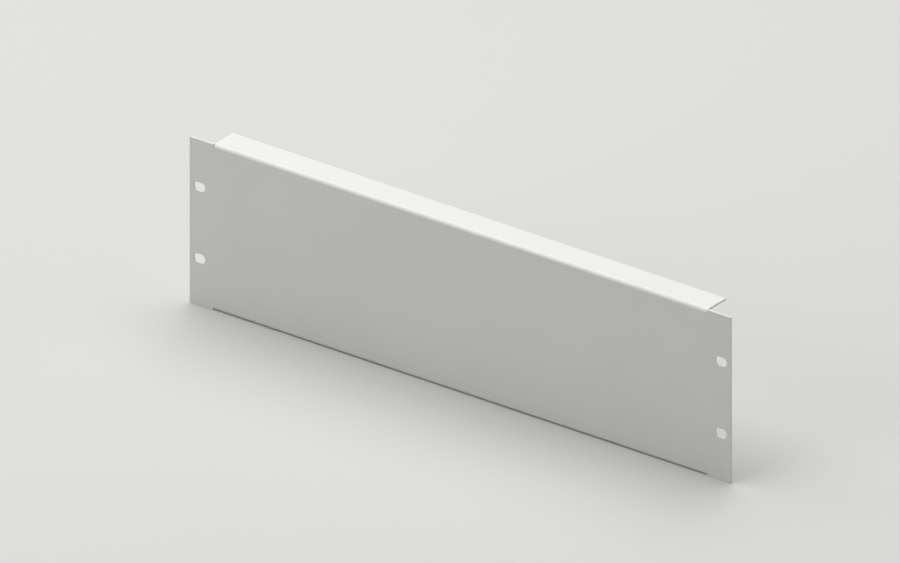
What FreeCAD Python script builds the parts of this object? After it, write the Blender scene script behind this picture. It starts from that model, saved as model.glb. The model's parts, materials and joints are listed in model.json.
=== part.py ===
import FreeCAD, Part
import math
import os

import Sketcher

# Blanking panel for a 19-inch rack, three height units tall, folded from one sheet of steel.
#
# The blank is cut flat with its four slots. A flange is then folded back along the top and the bottom,
# which stiffens the plate. The flanges stop short of both ends, and the bare plate left there makes the
# two ears that seat on the rack's posts. A hair-thin relief cut at each end of each fold lets the flange
# turn back without tearing the ear beside it.
#
# Millimetres. X runs across the panel, Z is up, and Y runs back into the rack. The origin is the middle
# of the slot pattern, on the rear face of the plate, which is the plane where the panel meets the posts.

SIZES = [
    ("panel_width", 482.6),
    ("panel_height", 132.5),
    ("sheet_thickness", 1.5),
    ("bend_inner_radius", 1.5),
    ("flange_depth", 23.0),
    ("ear_width", 21.3),
    ("slot_width", 7.0),
    ("slot_travel", 3.3),
    ("slot_to_side_edge", 8.75),
    ("slot_to_top_edge", 37.675),
    ("relief_cut_width", 0.1),
    ("relief_cut_past_bend", 0.8),
    ("corner_radius", 0.5),
    ("edge_break", 0.2),
]

# Places that more than one feature uses, as formulas on the size sheet.
HALF_WIDTH = "Sizes.panel_width / 2"
HALF_HEIGHT = "Sizes.panel_height / 2"
EAR_START = "Sizes.panel_width / 2 - Sizes.ear_width"

# Sketcher's own numbers for the ends and the centre of what is drawn, and for a sketch's axes and origin.
START, END, CENTRE = 1, 2, 3
AXES = {"horizontal": -1, "vertical": -2}
ORIGIN = (AXES["horizontal"], START)

# Points closer than this count as the same place.
SAME_PLACE = 1e-4


def make_size_sheet(doc):
    """Keep the driving dimensions in a spreadsheet, one named cell to a row."""
    sheet = doc.addObject("Spreadsheet::Sheet", "Sizes")
    for row, (name, value) in enumerate(SIZES, start=1):
        sheet.set(f"A{row}", name)
        sheet.set(f"B{row}", str(value))
        sheet.setAlias(f"B{row}", name)
    doc.recompute()
    return sheet


def origin_plane(body, role):
    return next(plane for plane in body.Origin.OriginFeatures if plane.Role == role)


def make_sketch(body, plane_role, name):
    """Start a sketch on one of the body's own origin planes."""
    sketch = body.newObject("Sketcher::SketchObject", name)
    sketch.AttachmentSupport = [(origin_plane(body, plane_role), "")]
    sketch.MapMode = "FlatFace"
    return sketch


def add_line(sketch, first, last):
    return sketch.addGeometry(Part.LineSegment(FreeCAD.Vector(*first, 0), FreeCAD.Vector(*last, 0)))


def add_arc(sketch, centre, radius, first_degrees, last_degrees):
    circle = Part.Circle(FreeCAD.Vector(*centre, 0), FreeCAD.Vector(0, 0, 1), radius)
    arc = Part.ArcOfCircle(circle, math.radians(first_degrees), math.radians(last_degrees))
    return sketch.addGeometry(arc)


def constrain(sketch, kind, *where):
    sketch.addConstraint(Sketcher.Constraint(kind, *where))


def bind(sketch, formula, kind, *where):
    """Add a dimension whose value is a formula on the size sheet."""
    index = sketch.addConstraint(Sketcher.Constraint(kind, *where, sketch.evalExpression(formula)))
    sketch.setExpression(f"Constraints[{index}]", formula)


def draw_fold_profile(body, size):
    """Section across the panel: the plate, then a bend and a flange at its top and at its bottom."""
    sketch = make_sketch(body, "YZ_Plane", "FoldProfile")
    front = -size["sheet_thickness"]
    rear_edge = size["flange_depth"] - size["sheet_thickness"]
    inner_radius = size["bend_inner_radius"]
    outer_radius = inner_radius + size["sheet_thickness"]
    half_height = size["panel_height"] / 2
    bend_line = half_height - outer_radius

    plate_front = add_line(sketch, (front, -bend_line), (front, bend_line))
    plate_rear = add_line(sketch, (0, -bend_line), (0, bend_line))
    constrain(sketch, "Vertical", plate_front)
    constrain(sketch, "Vertical", plate_rear)
    constrain(sketch, "PointOnObject", plate_rear, START, AXES["vertical"])
    bind(sketch, "Sizes.sheet_thickness", "DistanceX", plate_front, START, plate_rear, START)

    for side, plate_end, flange_end, first_degrees in ((1, END, START, 90), (-1, START, END, 180)):
        bend_centre = (inner_radius, side * bend_line)
        outer_level = side * half_height
        inner_level = side * (half_height - size["sheet_thickness"])
        outer_bend = add_arc(sketch, bend_centre, outer_radius, first_degrees, first_degrees + 90)
        inner_bend = add_arc(sketch, bend_centre, inner_radius, first_degrees, first_degrees + 90)
        outer_flange = add_line(sketch, (inner_radius, outer_level), (rear_edge, outer_level))
        inner_flange = add_line(sketch, (inner_radius, inner_level), (rear_edge, inner_level))
        flange_edge = add_line(sketch, (rear_edge, outer_level), (rear_edge, inner_level))

        constrain(sketch, "Tangent", plate_front, plate_end, outer_bend, plate_end)
        constrain(sketch, "Tangent", plate_rear, plate_end, inner_bend, plate_end)
        constrain(sketch, "Tangent", outer_bend, flange_end, outer_flange, START)
        constrain(sketch, "Tangent", inner_bend, flange_end, inner_flange, START)
        constrain(sketch, "Coincident", outer_bend, CENTRE, inner_bend, CENTRE)
        constrain(sketch, "Coincident", outer_flange, END, flange_edge, START)
        constrain(sketch, "Coincident", inner_flange, END, flange_edge, END)
        constrain(sketch, "Horizontal", outer_flange)
        constrain(sketch, "Horizontal", inner_flange)
        constrain(sketch, "Vertical", flange_edge)

        corner = (flange_edge, START)
        upwards = (*ORIGIN, *corner) if side > 0 else (*corner, *ORIGIN)
        bind(sketch, HALF_HEIGHT, "DistanceY", *upwards)
        bind(sketch, "Sizes.flange_depth - Sizes.sheet_thickness", "DistanceX", *ORIGIN, *corner)
        bind(sketch, "Sizes.bend_inner_radius", "Radius", inner_bend)
    return sketch


def draw_rectangle(sketch, left, right, bottom, top):
    """Draw a rectangle with each of its sides placed by a formula."""
    x_left, x_right, z_bottom, z_top = (sketch.evalExpression(side) for side in (left, right, bottom, top))
    corners = [(x_left, z_bottom), (x_right, z_bottom), (x_right, z_top), (x_left, z_top)]
    lines = [add_line(sketch, corners[side - 1], corners[side]) for side in range(4)]
    for side, direction in enumerate(("Vertical", "Horizontal", "Vertical", "Horizontal")):
        constrain(sketch, "Coincident", lines[side - 1], END, lines[side], START)
        constrain(sketch, direction, lines[side])
    bind(sketch, left, "DistanceX", *ORIGIN, lines[0], END)
    bind(sketch, bottom, "DistanceY", *ORIGIN, lines[0], END)
    bind(sketch, right, "DistanceX", *ORIGIN, lines[2], END)
    bind(sketch, top, "DistanceY", *ORIGIN, lines[2], END)


def draw_ear(body):
    """Right-hand ear, from the end of the folds to the end of the panel."""
    sketch = make_sketch(body, "XZ_Plane", "EarOutline")
    draw_rectangle(sketch, EAR_START, HALF_WIDTH, f"-{HALF_HEIGHT}", HALF_HEIGHT)
    return sketch


def draw_slot(body, size):
    """Upper right slot: two half circles, with their centres as far apart as the screw can travel."""
    sketch = make_sketch(body, "XZ_Plane", "SlotOutline")
    radius = size["slot_width"] / 2
    middle = size["panel_width"] / 2 - size["slot_to_side_edge"]
    left = middle - size["slot_travel"] / 2
    right = middle + size["slot_travel"] / 2
    level = size["panel_height"] / 2 - size["slot_to_top_edge"]

    left_end = add_arc(sketch, (left, level), radius, 90, 270)
    right_end = add_arc(sketch, (right, level), radius, -90, 90)
    top = add_line(sketch, (left, level + radius), (right, level + radius))
    bottom = add_line(sketch, (left, level - radius), (right, level - radius))
    constrain(sketch, "Tangent", left_end, START, top, START)
    constrain(sketch, "Tangent", left_end, END, bottom, START)
    constrain(sketch, "Tangent", right_end, START, bottom, END)
    constrain(sketch, "Tangent", right_end, END, top, END)
    constrain(sketch, "Equal", left_end, right_end)
    constrain(sketch, "Horizontal", top)

    slot_middle = f"{HALF_WIDTH} - Sizes.slot_to_side_edge"
    bind(sketch, "Sizes.slot_width / 2", "Radius", left_end)
    bind(sketch, f"{slot_middle} - Sizes.slot_travel / 2", "DistanceX", *ORIGIN, left_end, CENTRE)
    bind(sketch, f"{slot_middle} + Sizes.slot_travel / 2", "DistanceX", *ORIGIN, right_end, CENTRE)
    bind(sketch, f"{HALF_HEIGHT} - Sizes.slot_to_top_edge", "DistanceY", *ORIGIN, left_end, CENTRE)
    return sketch


def draw_relief_cut(body):
    """Relief cut at the upper right end of the fold, from just past the bend out through the top edge."""
    sketch = make_sketch(body, "XZ_Plane", "ReliefCutOutline")
    bend_line = f"{HALF_HEIGHT} - Sizes.bend_inner_radius - Sizes.sheet_thickness"
    draw_rectangle(
        sketch,
        left=EAR_START,
        right=f"{EAR_START} + Sizes.relief_cut_width",
        bottom=f"{bend_line} - Sizes.relief_cut_past_bend",
        top=f"{HALF_HEIGHT} + Sizes.sheet_thickness",
    )
    return sketch


def add_pad(body, name, sketch, length, side_type):
    pad = body.newObject("PartDesign::Pad", name)
    pad.Profile = sketch
    pad.SideType = side_type
    pad.setExpression("Length", length)
    return pad


def add_through_cut(body, name, sketch):
    """Cut right through the sheet, both ways from the sketch."""
    pocket = body.newObject("PartDesign::Pocket", name)
    pocket.Profile = sketch
    pocket.SideType = "Symmetric"
    pocket.Type = "ThroughAll"
    return pocket


def add_mirror(body, name, plane_role):
    mirror = body.newObject("PartDesign::Mirrored", name)
    mirror.MirrorPlane = (origin_plane(body, plane_role), [""])
    return mirror


def middle_of(edge):
    return edge.valueAt((edge.FirstParameter + edge.LastParameter) / 2)


def same(first, second):
    return abs(first - second) < SAME_PLACE


def is_corner(edge, shape, size):
    """True for an edge through the sheet's thickness, at a corner of an ear or of a flange."""
    point = middle_of(edge)
    ear_end = size["panel_width"] / 2
    ear_top = size["panel_height"] / 2
    flange_end = ear_end - size["ear_width"]
    flange_rear = size["flange_depth"] - size["sheet_thickness"]
    at_ear_corner = same(abs(point.x), ear_end) and same(abs(point.z), ear_top)
    at_flange_corner = same(abs(point.x), flange_end) and same(point.y, flange_rear)
    return at_ear_corner or at_flange_corner


def is_open_edge(edge, shape, size):
    """True for a sharp edge, unless it is inside a relief cut.

    Along the seam between a bend and a flat, the two faces meet smoothly, so the seam isn't sharp.
    """
    faces = shape.ancestorsOfType(edge, Part.Face)
    first, second = (face.normalAt(*face.Surface.parameter(middle_of(edge))) for face in faces)
    point = middle_of(edge)
    past_flange = abs(point.x) - (size["panel_width"] / 2 - size["ear_width"])
    across_cut = -SAME_PLACE < past_flange < size["relief_cut_width"] + SAME_PLACE
    in_relief_cut = across_cut and point.y < SAME_PLACE
    return first.dot(second) < 0.5 and not in_relief_cut


def find_edges(feature, passes, size):
    """Name the feature's edges that pass a test, as a fillet or a chamfer takes them."""
    feature.Document.recompute()
    shape = feature.Shape
    numbered = enumerate(shape.Edges, start=1)
    return feature, [f"Edge{number}" for number, edge in numbered if passes(edge, shape, size)]


def make_panel(doc, size):
    """Fold the channel, add the ears, cut the slots and the reliefs, then take off the sharp edges."""
    body = doc.addObject("PartDesign::Body", "BlankingPanel")
    body.Label = "blanking_panel"
    body.Placement = FreeCAD.Placement()

    add_pad(body, "Fold", draw_fold_profile(body, size), f"2 * ({EAR_START})", "Symmetric")
    right_ear = add_pad(body, "RightEar", draw_ear(body), "Sizes.sheet_thickness", "One side")
    left_ear = add_mirror(body, "LeftEar", "YZ_Plane")
    left_ear.Originals = [right_ear]
    body.Tip = left_ear

    slot = add_through_cut(body, "Slot", draw_slot(body, size))
    relief_cut = add_through_cut(body, "ReliefCut", draw_relief_cut(body))
    four_corners = body.newObject("PartDesign::MultiTransform", "FourCorners")
    four_corners.Originals = [slot, relief_cut]
    four_corners.Transformations = [
        add_mirror(body, "TopToBottom", "XY_Plane"),
        add_mirror(body, "RightToLeft", "YZ_Plane"),
    ]
    body.Tip = four_corners

    corner_rounding = body.newObject("PartDesign::Fillet", "CornerRounding")
    corner_rounding.Base = find_edges(four_corners, is_corner, size)
    corner_rounding.setExpression("Radius", "Sizes.corner_radius")

    # The break carries on along each edge that it runs into smoothly, so it also goes down into the relief
    # cuts on the flange's side. The rest of those cuts stays as sharp as it was cut.
    edge_break = body.newObject("PartDesign::Chamfer", "EdgeBreak")
    edge_break.Base = find_edges(corner_rounding, is_open_edge, size)
    edge_break.setExpression("Size", "Sizes.edge_break")
    doc.recompute()
    return body


def check_document(doc):
    """Stop if any feature failed, or if a cut took nothing away."""
    for each in doc.Objects:
        if "Invalid" in each.State or "Error" in each.State:
            raise RuntimeError(f"{each.Name} failed: {each.State}")
    for name in ("Slot", "ReliefCut", "FourCorners"):
        feature = doc.getObject(name)
        if feature.Shape.Volume >= feature.BaseFeature.Shape.Volume:
            raise RuntimeError(f"{name} cut nothing")


def write_part(body):
    """Write the finished solid under the sub-part's own name."""
    shape = body.Shape
    if shape.isNull() or not shape.isValid() or len(shape.Solids) != 1:
        raise RuntimeError(f"{body.Label} is not one valid solid")
    os.makedirs("parts", exist_ok=True)
    shape.exportStep(f"parts/{body.Label}.step")
    print(f"{body.Label}: {shape.Volume:.1f} mm3, {len(shape.Faces)} faces, {shape.BoundBox}")


doc = FreeCAD.newDocument("BlankingPanel")
sheet = make_size_sheet(doc)
panel = make_panel(doc, {name: sheet.get(name) for name, _ in SIZES})
check_document(doc)
write_part(panel)
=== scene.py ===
import json
import math

import bpy
import numpy as np
from mathutils import Matrix, Vector


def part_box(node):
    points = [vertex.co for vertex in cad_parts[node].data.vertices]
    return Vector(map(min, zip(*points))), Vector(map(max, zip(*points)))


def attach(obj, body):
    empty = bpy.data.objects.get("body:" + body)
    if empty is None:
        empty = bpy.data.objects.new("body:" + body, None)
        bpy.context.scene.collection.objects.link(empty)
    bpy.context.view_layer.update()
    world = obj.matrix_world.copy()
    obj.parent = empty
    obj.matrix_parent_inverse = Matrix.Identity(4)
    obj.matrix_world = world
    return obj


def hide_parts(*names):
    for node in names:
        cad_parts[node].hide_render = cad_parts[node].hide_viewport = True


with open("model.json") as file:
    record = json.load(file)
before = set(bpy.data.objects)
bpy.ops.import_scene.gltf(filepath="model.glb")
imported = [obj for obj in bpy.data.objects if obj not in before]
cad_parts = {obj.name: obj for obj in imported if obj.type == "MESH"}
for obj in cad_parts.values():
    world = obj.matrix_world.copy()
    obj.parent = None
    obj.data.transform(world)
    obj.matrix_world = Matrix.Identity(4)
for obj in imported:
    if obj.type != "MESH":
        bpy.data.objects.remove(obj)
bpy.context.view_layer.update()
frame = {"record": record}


# -------------------------------------------------------------------------------------------------
# The panel. One blank of 1.5 mm sheet steel, laser cut flat with its four slots and four hairline
# relief cuts, its edges dulled, then folded back along the top and the bottom on a press brake. The
# whole piece is powder coated light grey, so each cut edge and slot wall has the same satin coat.
# -------------------------------------------------------------------------------------------------
MM = 0.001
TOUCHING = 1e-7                           # lengths that differ by less are the same
low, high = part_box("blanking_panel")
slots = next(m for m in frame["record"]["mounts"] if m["name"] == "rack_slots")

HALF_WIDTH, HALF_HEIGHT = high[0], high[2]
FRONT, FLANGE_END = low[1], high[1]
SHEET = slots["pos_m"][1] - FRONT
INNER_RADIUS = 1.5 * MM                   # inside of the fold
BEND_RADIUS = INNER_RADIUS + SHEET        # outside of the fold
EAR_WIDTH = 21.3 * MM
TAB = HALF_WIDTH - EAR_WIDTH              # half the folded part, inside the two ears
RELIEF_WIDTH, RELIEF_PAST_BEND = 0.1 * MM, 0.8 * MM
BEND_START = HALF_HEIGHT - BEND_RADIUS
RELIEF_END = BEND_START - RELIEF_PAST_BEND
BEND_LENGTH = BEND_RADIUS * math.pi / 2   # along the outside of the fold
FLAT_END = BEND_START + BEND_LENGTH + FLANGE_END - FRONT - BEND_RADIUS

SLOT_X = slots["dims"]["spacing_x_mm"] / 2 * MM
SLOT_Z = slots["dims"]["spacing_y_mm"] / 2 * MM
SLOT_RADIUS = slots["dims"]["hole_r_mm"] * MM
SLOT_STRAIGHT = slots["dims"]["slot_length_mm"] / 2 * MM - SLOT_RADIUS

CORNER = 0.5 * MM                         # outside corners, seen from the front
EDGE = 0.2 * MM                           # dulled edge under the coat
EDGE_REACH = 4 * MM                       # how far inwards the distance from an edge is kept
EDGE_STEPS, CORNER_STEPS = 4, 3           # steps over the dulled edge, then up to the corner radius

RIM_RING, BLOCK_RING = 8, 14              # slot block: rings of points from its rim to its border
BLOCK_HALF_X, BLOCK_HALF_Z = 6.9 * MM, 5.25 * MM
STRAIGHT_SHARE = 0.25                     # the part of a ring's long side that lies on the straight
CREASE_ANGLE = math.radians(35)           # edges that turn more than this stay sharp


def near_edge():
    """Distances from an edge at which points are needed: a quarter turn over the dulled edge, where
    the distance is EDGE (1 - cos turn), then even steps up to the corner radius."""
    turn = np.linspace(0, math.pi / 2, EDGE_STEPS + 1)
    return np.concatenate([EDGE * (1 - np.cos(turn)),
                           np.linspace(EDGE, CORNER, CORNER_STEPS + 1)[1:]])


def both_ways(*positions):
    """The positions sorted from zero outwards, and their mirror images below zero."""
    outwards = np.unique(np.round(np.concatenate([np.atleast_1d(p) for p in positions]), 9))
    return np.concatenate([-outwards[:0:-1], outwards])


def rounded_box(x, w, half_x, half_w, radius):
    """Distance inwards from the outline of a rectangle with round corners: radius less the length
    of what stands past the corner centres, plus how far both fall short of them."""
    past_x, past_w = np.abs(x) - (half_x - radius), np.abs(w) - (half_w - radius)
    stands_past = np.hypot(np.maximum(past_x, 0), np.maximum(past_w, 0))
    return radius - stands_past - np.minimum(np.maximum(past_x, past_w), 0)


def slot_distance(x, w):
    """Distance outwards from the rim of the nearest slot: the length from its straight middle line,
    less the radius."""
    past_straight = np.maximum(np.abs(np.abs(x) - SLOT_X) - SLOT_STRAIGHT, 0)
    return np.hypot(past_straight, np.abs(w) - SLOT_Z) - SLOT_RADIUS


def slot_block(x, w, columns, rows):
    """Bends the square rings of points round a slot to its shape. On ring m the point at a, b (each
    from 0 to 1 along the square) goes to the rim at 45 b degrees on the round ends. On the long
    sides it goes along the straight where a is under the straight's share, and from there turns
    evenly from 90 to 45 degrees. Rings move out over the dulled edge by EDGE (1 - cos turn) and
    then blend in a line to the block's border."""
    i, j = np.meshgrid(np.arange(-BLOCK_RING, BLOCK_RING + 1),
                       np.arange(-BLOCK_RING, BLOCK_RING + 1))
    m = np.maximum(np.abs(i), np.abs(j))
    ring = np.maximum(m, RIM_RING)
    a, b = np.abs(i) / np.maximum(m, 1), np.abs(j) / np.maximum(m, 1)
    at_end = a >= b
    on_straight = ~at_end & (a < STRAIGHT_SHARE)
    past_straight = (a - STRAIGHT_SHARE) / (1 - STRAIGHT_SHARE)
    angle = np.where(at_end, b * math.pi / 4, math.pi / 2 - math.pi / 4 * past_straight)
    angle = np.where(on_straight, math.pi / 2, angle)
    along = np.where(on_straight, a / STRAIGHT_SHARE, 1) * SLOT_STRAIGHT
    turn = np.minimum(ring - RIM_RING, EDGE_STEPS) / EDGE_STEPS * math.pi / 2
    out = SLOT_RADIUS + EDGE * (1 - np.cos(turn))
    rim_x, rim_w = along + out * np.cos(angle), out * np.sin(angle)
    edge_ring = RIM_RING + EDGE_STEPS
    blend = np.clip((ring - edge_ring) / (BLOCK_RING - edge_ring), 0, 1)
    block_x = np.sign(i) * (rim_x * (1 - blend) + a * BLOCK_HALF_X * blend)
    block_w = np.sign(j) * (rim_w * (1 - blend) + b * BLOCK_HALF_Z * blend)
    block = np.ix_(rows, columns)
    x[block] = x[block].mean() + block_x
    w[block] = w[block].mean() + block_w


def round_corner(x, w, half_x, half_w, where):
    """Turns the square rings of points at an outside corner into quarter circles about the corner
    centre: a point keeps its larger distance m from the centre lines and goes to 45 v/u degrees at
    that radius, or to 90 - 45 u/v degrees where v is the larger."""
    u, v = np.abs(x) - (half_x - CORNER), np.abs(w) - (half_w - CORNER)
    here = where & (u > TOUCHING) & (v > TOUCHING)
    u, v = np.where(here, u, 1), np.where(here, v, 1)
    m = np.maximum(u, v)
    angle = np.where(u >= v, math.pi / 4 * v / u, math.pi / 2 - math.pi / 4 * u / v)
    x[here] = (np.sign(x) * (half_x - CORNER + m * np.cos(angle)))[here]
    w[here] = (np.sign(w) * (half_w - CORNER + m * np.sin(angle)))[here]


def fold(x, w, depth, is_tab):
    """The blank's point at x, w and this depth under the front, folded. The tab's part past the
    bend start turns by its length over the bend radius, up to a quarter turn, about the bend's
    centre line at the radius less the depth, and what is left runs straight back."""
    past_start = np.abs(w) - BEND_START
    turned = np.where(is_tab, np.clip(past_start / BEND_RADIUS, 0, math.pi / 2), 0)
    before = np.where(is_tab, np.minimum(np.abs(w), BEND_START), np.abs(w))
    after = np.where(is_tab, np.maximum(past_start - BEND_LENGTH, 0), 0)
    radius = BEND_RADIUS - depth
    y = FRONT + BEND_RADIUS - radius * np.cos(turned) + after
    z = np.sign(w) * (before + radius * np.sin(turned))
    return np.stack([x, y, z], axis=-1)


def blank_grid():
    """The flat blank's columns along x and rows along its unfolded length w, closest together at
    the edges, round the slots and over the bends."""
    across, between_slots, past_slots, over_bend, along_flange = 13, 4, 5, 13, 5
    block = np.linspace(-1, 1, 2 * BLOCK_RING + 1)
    bend_end = BEND_START + BEND_LENGTH
    columns = both_ways(np.linspace(0, TAB - EDGE_REACH, across), TAB - near_edge(),
                        TAB + RELIEF_WIDTH, SLOT_X + BLOCK_HALF_X * block,
                        HALF_WIDTH - near_edge())
    rows = both_ways(np.linspace(0, SLOT_Z - BLOCK_HALF_Z, between_slots),
                     SLOT_Z + BLOCK_HALF_Z * block,
                     np.linspace(SLOT_Z + BLOCK_HALF_Z, RELIEF_END, past_slots),
                     HALF_HEIGHT - near_edge(),
                     BEND_START + BEND_LENGTH * np.linspace(0, 1, over_bend),
                     np.linspace(bend_end, FLAT_END - CORNER, along_flange),
                     FLAT_END - near_edge())
    return columns, rows


def joined_faces(steel, rear):
    """Four-sided faces for the cells that are steel: the front layer's, the rear layer's turned
    round, and a wall between the layers on each side of a cell where the next cell isn't steel.
    A point's number in the rear layer is its number in the front layer plus rear."""
    number = np.arange(rear).reshape(steel.shape[0] + 1, steel.shape[1] + 1)
    a, b, c, d = number[:-1, :-1], number[:-1, 1:], number[1:, 1:], number[1:, :-1]
    faces = [np.stack([a, b, c, d], -1)[steel], np.stack([d, c, b, a], -1)[steel] + rear]
    framed = np.pad(steel, 1)
    for next_cell, first, second in ((framed[:-2, 1:-1], a, b), (framed[1:-1, 2:], b, c),
                                     (framed[2:, 1:-1], c, d), (framed[1:-1, :-2], d, a)):
        open_side = steel & ~next_cell
        p, q = first[open_side], second[open_side]
        faces.append(np.stack([q, p, p + rear, q + rear], -1))
    return np.concatenate(faces)


def folded_panel():
    """The blank as a front layer and a rear layer of the same grid, folded. Each layer sinks over
    the dulled edge by EDGE - sqrt(EDGE^2 - (EDGE - distance)^2). On the tab this fades in over the
    bend, by 3 t^2 - 2 t^3 for the share t of the bend. Walls join the two layers along the outline,
    the relief cuts and the slot rims."""
    column_x, row_w = blank_grid()
    x, w = np.meshgrid(column_x, row_w)
    square_x, square_w = x.copy(), w.copy()
    is_tab = np.abs(x) < TAB + TOUCHING

    cell_x, cell_w = np.meshgrid(np.abs(column_x[1:] + column_x[:-1]) / 2,
                                 np.abs(row_w[1:] + row_w[:-1]) / 2)
    steel = np.where(cell_x < TAB, True, np.where(cell_x < TAB + RELIEF_WIDTH,
                                                  cell_w < RELIEF_END, cell_w < HALF_HEIGHT))
    for slot_x in (-SLOT_X, SLOT_X):
        for slot_w in (-SLOT_Z, SLOT_Z):
            column = int(np.argmin(np.abs(column_x - slot_x)))
            row = int(np.argmin(np.abs(row_w - slot_w)))
            steel[row - RIM_RING:row + RIM_RING, column - RIM_RING:column + RIM_RING] = False
            slot_block(x, w, np.arange(column - BLOCK_RING, column + BLOCK_RING + 1),
                       np.arange(row - BLOCK_RING, row + BLOCK_RING + 1))
    round_corner(x, w, TAB, FLAT_END,
                 is_tab & (np.abs(square_w) > FLAT_END - CORNER - TOUCHING))
    round_corner(x, w, HALF_WIDTH, HALF_HEIGHT,
                 ~is_tab & (np.abs(square_x) > HALF_WIDTH - CORNER - TOUCHING))

    in_fold = is_tab & (np.abs(w) > RELIEF_END + TOUCHING)
    on_plate = np.minimum(rounded_box(x, w, HALF_WIDTH, HALF_HEIGHT, CORNER), slot_distance(x, w))
    distance = np.where(in_fold, rounded_box(x, w, TAB, FLAT_END, CORNER), on_plate)
    sunk = EDGE - np.sqrt(EDGE ** 2 - np.clip(EDGE - distance, 0, EDGE) ** 2)
    rise = np.clip((np.abs(w) - BEND_START) / BEND_LENGTH, 0, 1)
    sunk = sunk * np.where(is_tab, rise * rise * (3 - 2 * rise), 1)

    points = np.concatenate([fold(x, w, sunk, is_tab).reshape(-1, 3),
                             fold(x, w, SHEET - sunk, is_tab).reshape(-1, 3)])
    from_edge = np.tile(np.minimum(distance, EDGE_REACH).ravel(), 2)
    used, faces = np.unique(joined_faces(steel, x.size), return_inverse=True)
    return points[used], faces.reshape(-1, 4), from_edge[used]


points, faces, from_edge = folded_panel()
mesh = bpy.data.meshes.new("folded_panel")
mesh.from_pydata(points.tolist(), [], faces.tolist())
mesh.attributes.new("from_edge", "FLOAT", "POINT").data.foreach_set("value", from_edge / MM)
mesh.polygons.foreach_set("use_smooth", np.ones(len(faces), bool))
mesh.set_sharp_from_angle(angle=CREASE_ANGLE)
mesh.update()
panel = bpy.data.objects.new("folded_panel", mesh)
bpy.context.scene.collection.objects.link(panel)
normals = panel.modifiers.new("face_weighted_normals", "WEIGHTED_NORMAL")
normals.keep_sharp = True


class Shade:
    """A value in a material: Python's operators on it add the Math nodes."""

    def __init__(self, tree, socket):
        self.tree, self.socket = tree, socket

    def node(self, kind, settings, values, output=0):
        """Adds a node of any kind: its settings first, then the values or links of its sockets."""
        made = self.tree.nodes.new(kind)
        for name, value in settings.items():
            setattr(made, name, value)
        for key, value in values.items():
            if isinstance(value, Shade):
                self.tree.links.new(value.socket, made.inputs[key])
            else:
                made.inputs[key].default_value = value
        return Shade(self.tree, made.outputs[output])

    def math(self, operation, first, second):
        return self.node("ShaderNodeMath", {"operation": operation}, {0: first, 1: second})

    def __add__(self, other): return self.math("ADD", self, other)
    def __radd__(self, other): return self.math("ADD", other, self)
    def __sub__(self, other): return self.math("SUBTRACT", self, other)
    def __rsub__(self, other): return self.math("SUBTRACT", other, self)
    def __mul__(self, other): return self.math("MULTIPLY", self, other)
    def __rmul__(self, other): return self.math("MULTIPLY", other, self)
    def __truediv__(self, other): return self.math("DIVIDE", self, other)
    def __rtruediv__(self, other): return self.math("DIVIDE", other, self)

    def clamped(self):
        return self.node("ShaderNodeClamp", {}, {"Value": self, "Min": 0.0, "Max": 1.0})

    def between(self, colour_at_0, colour_at_1):
        colour_output = 2
        return self.node("ShaderNodeMix", {"data_type": "RGBA"},
                         {"Factor": self, "A": colour_at_0, "B": colour_at_1}, colour_output)


def linear(red, green, blue):
    """A display colour from 0 to 255 as the linear colour that a socket takes. Its share of 255 is
    divided by 12.92 up to 0.04045. Past that, 0.055 is added, the sum is divided by 1.055 and the
    result is raised to 2.4."""
    c = np.array([red, green, blue]) / 255
    return tuple(np.where(c <= 0.04045, c / 12.92, ((c + 0.055) / 1.055) ** 2.4)) + (1.0,)


def powder_coat():
    """Light grey powder coat: a fine sprayed grain about 0.8 mm wide over a softer orange peel
    about 3 mm wide, each some hundredths of a millimetre high, a touch of cloudiness, and a
    glossier band along the edges, whose colour is also made lighter there as a painted highlight.
    The tone between two greys and the roughness are each a middle value plus shares of the grain,
    the cloudiness and that edge band."""
    darker, lighter = linear(193, 193, 191), linear(200, 200, 198)
    peel_height, grain_height = 0.04 * MM, 0.05 * MM
    edge_band_width_mm = 0.9
    middle_roughness = 0.54

    material = bpy.data.materials.new("powder_coat")
    material.use_nodes = True
    tree = material.node_tree
    shader = tree.nodes["Principled BSDF"]
    start = Shade(tree, shader.outputs[0])
    place = start.node("ShaderNodeTexCoord", {}, {}, "Object")

    def swing(size, detail, roughness):
        """A noise of this size, moved down by half so that it swings about zero."""
        return start.node("ShaderNodeTexNoise", {}, {"Vector": place, "Scale": 1 / size,
                                                     "Detail": detail,
                                                     "Roughness": roughness}) - 0.5

    cloud = swing(60 * MM, 2.0, 0.5)
    peel = swing(3.2 * MM, 1.0, 0.5)
    grain = swing(0.8 * MM, 3.0, 0.6)
    edge_mm = start.node("ShaderNodeAttribute", {"attribute_name": "from_edge"}, {}, "Fac")
    # Band along every edge: it makes the coat a little glossier, and it is a painted highlight that
    # lightens the colour there.
    edge_gloss_and_painted_highlight = (1 - edge_mm / edge_band_width_mm).clamped()

    # The last term paints the colour lighter along every edge: a painted highlight.
    tone = (0.5 + cloud * 0.7 + grain * 0.5 + edge_gloss_and_painted_highlight * 0.35).clamped()
    rough = middle_roughness + grain * 0.16 + cloud * 0.05 - edge_gloss_and_painted_highlight * 0.06
    height = peel * peel_height + grain * grain_height
    bump = start.node("ShaderNodeBump", {}, {"Strength": 1.0, "Distance": 1.0, "Height": height})
    tree.links.new(tone.between(darker, lighter).socket, shader.inputs["Base Color"])
    tree.links.new(rough.socket, shader.inputs["Roughness"])
    tree.links.new(bump.socket, shader.inputs["Normal"])
    shader.inputs["IOR"].default_value = 1.5
    return material


panel.data.materials.append(powder_coat())
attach(panel, "root")
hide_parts("blanking_panel")


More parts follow.
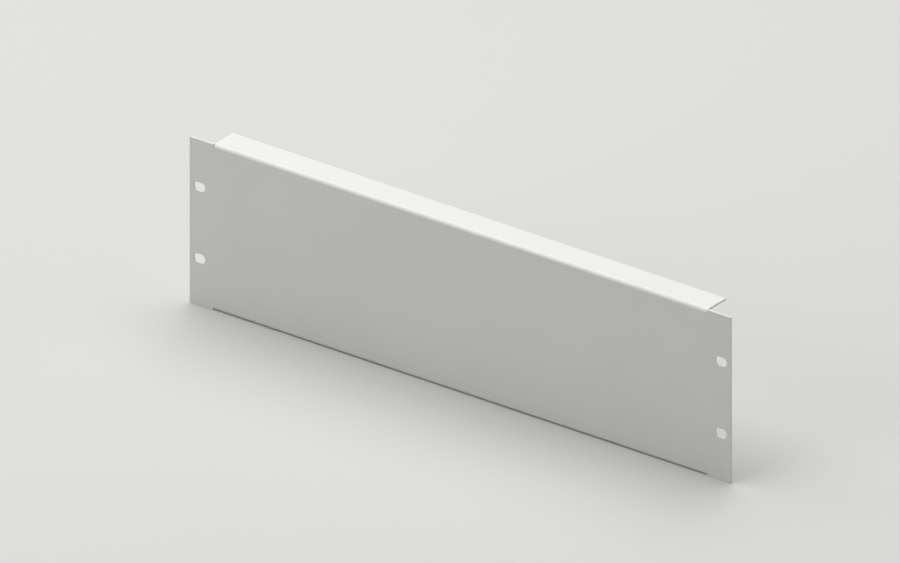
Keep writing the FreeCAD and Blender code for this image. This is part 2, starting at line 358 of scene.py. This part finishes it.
# -------------------------------------------------------------------------------------------------
# The floor. A wide sheet of pale matt studio paper, level, with the panel standing on its lower
# flange and the lower edges of its ears.
# -------------------------------------------------------------------------------------------------
FLOOR_REACH = 4.0
floor_corners = [(x, y, low[2]) for x, y in ((-FLOOR_REACH, -FLOOR_REACH),
                                             (FLOOR_REACH, -FLOOR_REACH),
                                             (FLOOR_REACH, FLOOR_REACH),
                                             (-FLOOR_REACH, FLOOR_REACH))]
floor_mesh = bpy.data.meshes.new("studio_floor")
floor_mesh.from_pydata(floor_corners, [], [(0, 1, 2, 3)])
floor = bpy.data.objects.new("studio_floor", floor_mesh)
bpy.context.scene.collection.objects.link(floor)
paper = bpy.data.materials.new("studio_paper")
paper.use_nodes = True
paper_shader = paper.node_tree.nodes["Principled BSDF"]
paper_shader.inputs["Base Color"].default_value = linear(184, 184, 183)
paper_shader.inputs["Roughness"].default_value = 0.95
paper_shader.inputs["Specular IOR Level"].default_value = 0.1
floor_mesh.materials.append(paper)


# -------------------------------------------------------------------------------------------------
# The light. A wide soft box overhead, a large soft screen in front on the left, a smaller one on
# the right for the cut ends, and a dim even room.
# -------------------------------------------------------------------------------------------------
ROOM_LIGHT = 0.12
room = bpy.data.worlds.new("studio_room")
bpy.context.scene.world = room
room.use_nodes = True
room_shader = room.node_tree.nodes["Background"]
room_shader.inputs["Color"].default_value = (1.0, 1.0, 1.0, 1.0)
room_shader.inputs["Strength"].default_value = ROOM_LIGHT


def soft_box(name, centre, width, height, radiance):
    """A flat rectangular lamp at centre that faces the origin, the middle of the panel. Its watts
    are its radiance times pi times its area."""
    lamp = bpy.data.lights.new(name, "AREA")
    lamp.shape = "RECTANGLE"
    lamp.size, lamp.size_y = width, height
    lamp.energy = radiance * math.pi * width * height
    holder = bpy.data.objects.new(name, lamp)
    bpy.context.scene.collection.objects.link(holder)
    turn = Vector(centre).to_track_quat("Z", "Y").to_matrix().to_4x4()
    holder.matrix_world = Matrix.Translation(centre) @ turn


soft_box("overhead_box", (-0.8, 0.4, 3.0), width=4.8, height=3.6, radiance=3.7)
soft_box("front_screen", (-1.6, -3.5, 1.6), width=3.2, height=2.6, radiance=2.25)
soft_box("side_screen", (3.2, 0.6, 1.2), width=2.0, height=2.0, radiance=1.9)


# -------------------------------------------------------------------------------------------------
# The camera. Parallel projection from the front right, above. Its frame is placed from the corner
# where the front face, the top and the left end of the panel meet.
# -------------------------------------------------------------------------------------------------
AZIMUTH, ELEVATION = math.radians(36.82), math.radians(26.60)
PICTURE_WIDTH = 0.64258
CENTRE_RIGHT, CENTRE_DOWN, DISTANCE = 0.18595, 0.10364, 1.6   # from that corner, in the view
right = Vector((math.cos(AZIMUTH), math.sin(AZIMUTH), 0))
back = Vector((math.sin(AZIMUTH) * math.cos(ELEVATION), -math.cos(AZIMUTH) * math.cos(ELEVATION),
               math.sin(ELEVATION)))
up = back.cross(right)
lens = bpy.data.cameras.new("camera")
lens.type = "ORTHO"
lens.ortho_scale = PICTURE_WIDTH
lens.clip_end = 20
camera = bpy.data.objects.new("camera", lens)
bpy.context.scene.collection.objects.link(camera)
camera.matrix_world = Matrix((right, up, back)).transposed().to_4x4()
camera.matrix_world.translation = (Vector((low[0], FRONT, high[2])) + CENTRE_RIGHT * right
                                   - CENTRE_DOWN * up + DISTANCE * back)
bpy.context.scene.camera = camera

bpy.context.scene.view_settings.view_transform = "Standard"
